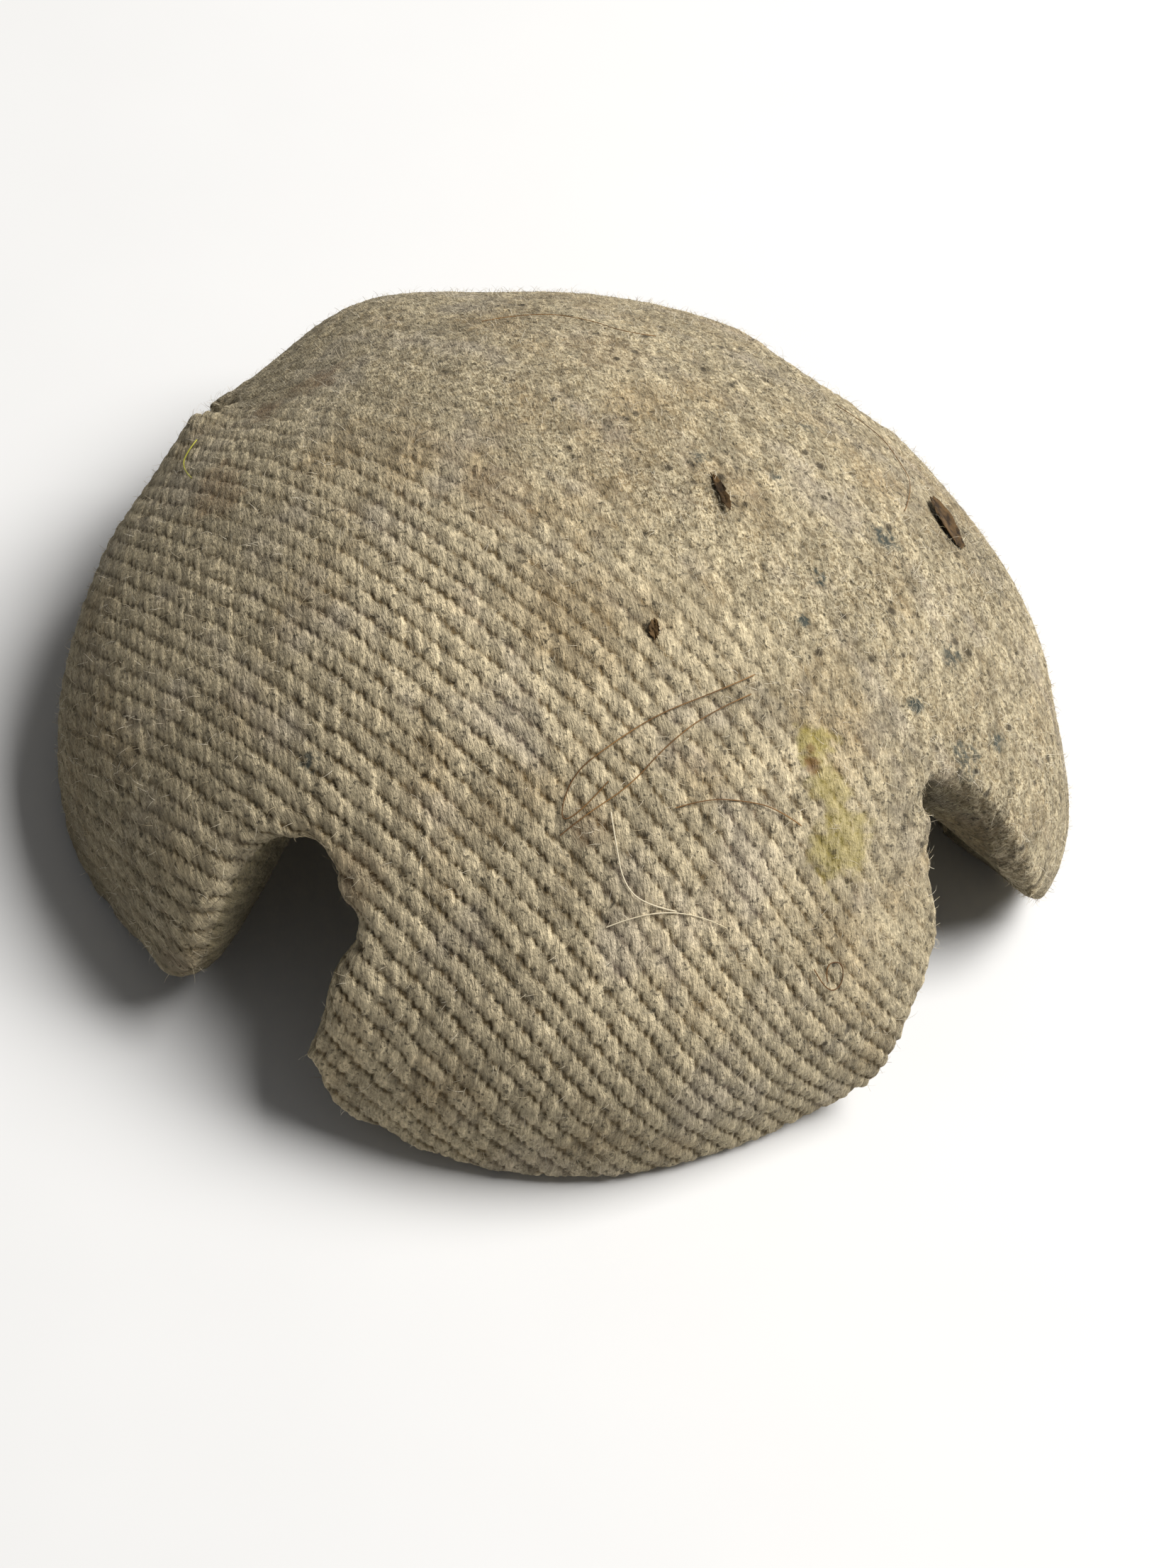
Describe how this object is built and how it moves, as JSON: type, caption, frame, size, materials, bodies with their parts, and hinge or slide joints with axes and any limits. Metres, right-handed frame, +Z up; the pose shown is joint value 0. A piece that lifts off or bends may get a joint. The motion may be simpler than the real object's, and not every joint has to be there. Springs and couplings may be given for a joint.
{
  "type": "training bumper",
  "caption": "Padded, twill-covered dome with a hollow underside and arched notches between standing lobes, for scent and retrieve training.",
  "frame": {"origin": "on the floor, under the middle of the dome, at the centre of the four lobes' feet", "axes": "+Z up along the dome's axis; the notches face +X, -X, +Y and -Y, and the lobes lie on the diagonals"},
  "size_m": [0.1182, 0.1182, 0.049],
  "materials": {
    "cover_twill": "coarse undyed cotton-jute twill, worn and napped",
    "wadding": "soft white polyester batting",
    "foam": "closed-cell foam, matt skin",
    "lining_cloth": "plain-weave canvas",
    "facing_cloth": "brushed canvas, fuzzy",
    "hem_cloth": "canvas strip",
    "thread": "waxed cotton thread"
  },
  "bodies": {
    "root": {"crown_panel": "cover_twill", "wadding": "wadding", "foam_core": "foam", "lining": "lining_cloth", "notch_facing_front": "facing_cloth", "notch_facing_right": "facing_cloth", "notch_facing_back": "facing_cloth", "notch_facing_left": "facing_cloth", "lobe_hem_front_right": "hem_cloth", "lobe_hem_back_right": "hem_cloth", "lobe_hem_back_left": "hem_cloth", "lobe_hem_front_left": "hem_cloth", "facing_stitches_front": "thread", "facing_stitches_right": "thread", "facing_stitches_back": "thread", "facing_stitches_left": "thread", "hem_stitches_front_right": "thread", "hem_stitches_back_right": "thread", "hem_stitches_back_left": "thread", "hem_stitches_front_left": "thread"}
  },
  "joints": []
}
